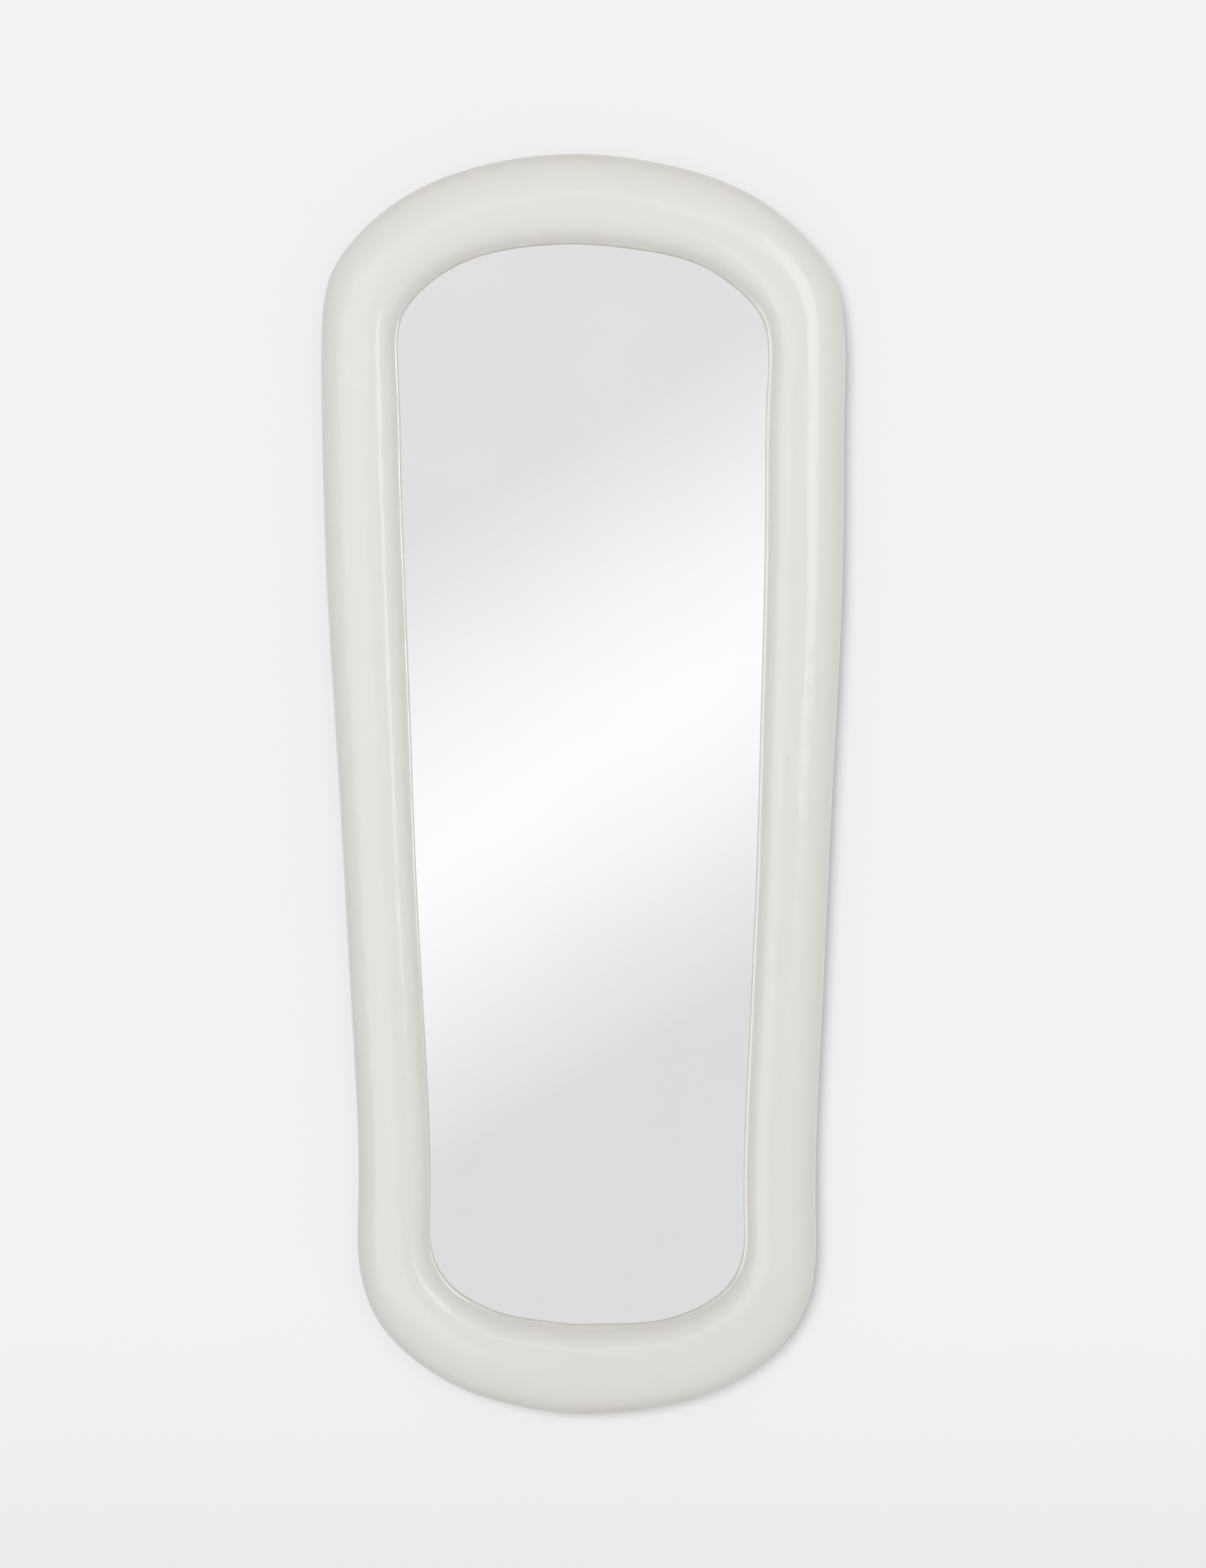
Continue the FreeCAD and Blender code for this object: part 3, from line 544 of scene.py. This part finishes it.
def make_materials():
    """One material for each of the record's slots."""
    return {
        "lacquered_resin": lacquered_resin(),
        "plywood": plywood(),
        "hardboard": hardboard(),
        "mirror_glass": silvered_glass(),
        "glazing_tape": rubber("glazing_tape", rgb(0.02, 0.02, 0.02), rgb(0.05, 0.05, 0.05),
                               1500.0, 0.0003),
        "safety_film": woven_film(),
        "setting_rubber": rubber("setting_rubber", rgb(0.018, 0.018, 0.019),
                                 rgb(0.04, 0.04, 0.042), 500.0, 0.0002),
        "pad_rubber": rubber("pad_rubber", rgb(0.035, 0.035, 0.037), rgb(0.09, 0.09, 0.09),
                             900.0, 0.0005),
        "bumper_rubber": rubber("bumper_rubber", rgb(0.50, 0.49, 0.46), rgb(0.62, 0.61, 0.58),
                                420.0, 0.0002),
        "ring_wire": plated("ring_wire", rgb(0.78, 0.76, 0.71), rgb(0.66, 0.64, 0.60), 0.14),
        "zinc_steel": plated("zinc_steel", rgb(0.74, 0.75, 0.77), rgb(0.58, 0.60, 0.63), 0.24),
    }


# Stage

def studio_light():
    """A pale surround, brighter in front, whose soft diagonal band the mirror shows."""
    world = bpy.data.worlds.new("studio")
    bpy.context.scene.world = world
    world.use_nodes = True
    tree = world.node_tree
    tree.nodes.clear()
    way = add(tree, "SeparateXYZ", {"Vector": add(tree, "TexCoord").outputs["Generated"]})
    x, y, z = (way.outputs[axis] for axis in "XYZ")
    ahead = calc(tree, "MULTIPLY", y, -1.0)
    level = calc(tree, "ADD", remap(tree, ahead, 0.0, 0.9, SIDE_LEVEL, FRONT_LEVEL),
                 remap(tree, ahead, -0.1, -0.9, 0.0, REAR_LEVEL - SIDE_LEVEL))
    level = calc(tree, "ADD", level, calc(tree, "MULTIPLY", x, LEVEL_RIGHT))
    level = calc(tree, "ADD", level, calc(tree, "MULTIPLY", z, LEVEL_UP))
    for centre, half, lift in SOFTBOXES:
        level = calc(tree, "ADD", level, softbox(tree, x, ahead, z, centre, half, lift))
    level = mirror_view(tree, x, ahead, z, level)
    seen = add(tree, "LightPath").outputs["Is Camera Ray"]
    strength = calc(tree, "ADD", calc(tree, "MULTIPLY", seen, BACKDROP),
                    calc(tree, "MULTIPLY", calc(tree, "SUBTRACT", 1.0, seen), level))
    glow = add(tree, "Background", {"Color": rgb(1.0, 1.0, 1.0), "Strength": strength})
    surface = add(tree, "OutputWorld")
    tree.links.new(glow.outputs[0], surface.inputs["Surface"])


def softbox(tree, x, ahead, z, centre, half, lift):
    """A soft-edged patch of light."""
    azimuth = calc(tree, "ARCTAN2", x, ahead)
    height = calc(tree, "ARCSINE", z)
    inside = 1.0
    for angle, middle, reach in zip((azimuth, height), centre, half):
        off = calc(tree, "ABSOLUTE", calc(tree, "SUBTRACT", angle, math.radians(middle)))
        inside = calc(tree, "MULTIPLY", inside,
                      remap(tree, off, math.radians(reach + SOFTBOX_EDGE),
                            math.radians(reach - SOFTBOX_EDGE)))
    return calc(tree, "MULTIPLY", inside, lift)


def mirror_view(tree, x, ahead, z, level):
    """The surround with the part straight ahead given to the diagonal band."""
    near = calc(tree, "MAXIMUM", ahead, 0.05)
    across, up = calc(tree, "DIVIDE", x, near), calc(tree, "DIVIDE", z, near)
    tilt = math.radians(BAND_TILT)
    off = calc(tree, "SUBTRACT",
               calc(tree, "MULTIPLY", calc(tree, "SUBTRACT", up, BAND_THROUGH[1]), math.cos(tilt)),
               calc(tree, "MULTIPLY", calc(tree, "SUBTRACT", across, BAND_THROUGH[0]),
                    math.sin(tilt)))
    plateau = remap(tree, off, -BAND_HALF_WIDTH, BAND_HALF_WIDTH, PLATEAU_BELOW, PLATEAU_ABOVE)
    far = calc(tree, "SQRT", calc(tree, "ADD", calc(tree, "MULTIPLY", off, off),
                                  BAND_SHARPNESS ** 2))
    band = remap(tree, far, BAND_SHARPNESS, BAND_HALF_WIDTH, BAND_LIFT, 0.0, "LINEAR")
    shown = calc(tree, "ADD", plateau, band)
    spread = calc(tree, "MAXIMUM",
                  calc(tree, "DIVIDE", calc(tree, "ABSOLUTE", across), MIRROR_FIELD[0]),
                  calc(tree, "DIVIDE", calc(tree, "ABSOLUTE", up), MIRROR_FIELD[1]))
    share = remap(tree, spread, 1.0, MIRROR_FIELD_EDGE, 1.0, 0.0)
    return calc(tree, "ADD", calc(tree, "MULTIPLY", shown, share),
                calc(tree, "MULTIPLY", level, calc(tree, "SUBTRACT", 1.0, share)))


def stage_sheet(name, corners):
    """A flat piece of the stage."""
    mesh = bpy.data.meshes.new(name)
    mesh.from_pydata(corners, [], [tuple(range(len(corners)))])
    sheet = bpy.data.objects.new(name, mesh)
    bpy.context.collection.objects.link(sheet)
    sheet.visible_glossy = False
    sheet.visible_transmission = False
    return sheet


def make_floor(low):
    """A plain pale floor under the hung mirror."""
    z, half = low.z - FLOOR_DROP, STAGE_SIZE / 2
    floor = stage_sheet("floor", [(-half, -half, z), (half, -half, z), (half, half, z),
                                  (-half, half, z)])
    material, tree, shader = start_material("floor", Roughness=0.8, Specular_IOR_Level=0.2)
    mottle = remap(tree, grain(tree, 3.0, 3.0), 0.3, 0.7)
    tree.links.new(blend_colours(tree, mottle, rgb(0.86, 0.86, 0.86), rgb(0.88, 0.88, 0.88)),
                   shader.inputs["Base Color"])
    floor.data.materials.append(material)
    floor.visible_diffuse = False


def make_wall(high):
    """The wall the mirror hangs on, seen only from its room side."""
    y, half = high.y + WALL_GAP, STAGE_SIZE / 2
    wall = stage_sheet("wall", [(-half, y, -half), (half, y, -half), (half, y, half),
                                (-half, y, half)])
    wall.visible_diffuse = False
    wall.visible_shadow = False
    material = bpy.data.materials.new("wall")
    material.use_nodes = True
    tree = material.node_tree
    tree.nodes.clear()
    paint = add(tree, "BsdfDiffuse", {"Color": rgb(*[WALL_ALBEDO] * 3)})
    glow = add(tree, "Emission", {"Strength": WALL_GLOW})
    lit = add(tree, "AddShader")
    tree.links.new(paint.outputs[0], lit.inputs[0])
    tree.links.new(glow.outputs[0], lit.inputs[1])
    either = add(tree, "MixShader", {"Fac": add(tree, "NewGeometry").outputs["Backfacing"]})
    tree.links.new(lit.outputs[0], either.inputs[1])
    tree.links.new(add(tree, "BsdfTransparent").outputs[0], either.inputs[2])
    tree.links.new(either.outputs[0], add(tree, "OutputMaterial").inputs["Surface"])
    wall.data.materials.append(material)
    light_wall(wall)


def light_wall(wall):
    """A soft lamp for the wall alone: the mirror's thin shadow falls to the right and down."""
    lamp = bpy.data.lights.new("wall_lamp", "SUN")
    lamp.energy, lamp.angle = WALL_SUN, math.radians(WALL_SUN_SIZE)
    left, up = (math.radians(tilt) for tilt in WALL_SUN_TILT)
    source = bpy.data.objects.new("wall_lamp", lamp)
    bpy.context.collection.objects.link(source)
    source.rotation_euler = (math.radians(90) - up, 0, -left)
    only = bpy.data.collections.new("lit_by_wall_lamp")
    only.objects.link(wall)
    source.light_linking.receiver_collection = only


def make_camera(high):
    """A frontal camera whose view just fills its height at the frame's widest line."""
    data = bpy.data.cameras.new("camera")
    data.lens, data.sensor_width = LENS, SENSOR
    camera = bpy.data.objects.new("camera", data)
    bpy.context.collection.objects.link(camera)
    distance = VIEW_HEIGHT / 2 / (SENSOR / 2 / LENS)
    camera.location = VIEW_CENTRE + Vector((0, high.y - WIDEST_DEPTH - distance, 0))
    camera.rotation_euler = (math.radians(90), 0, 0)
    bpy.context.scene.camera = camera


def main():
    low, high = CAD_BOX
    materials = make_materials()
    for subpart in frame["record"]["subparts"]:
        node = frame["nodes"][subpart["node"]]
        node.data.materials.clear()
        node.data.materials.append(materials[subpart["material_slot"]])
    shell = make_shell(frame["nodes"]["frame_shell"])
    shell.data.materials.append(materials["lacquered_resin"])
    shell.data.materials.append(raw_resin())
    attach(shell, "mirror")
    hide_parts("frame_shell")
    _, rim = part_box("frame_shell")
    make_camera(rim)
    make_floor(low)
    make_wall(high)
    studio_light()
    bpy.context.scene.view_settings.view_transform = "Standard"


main()
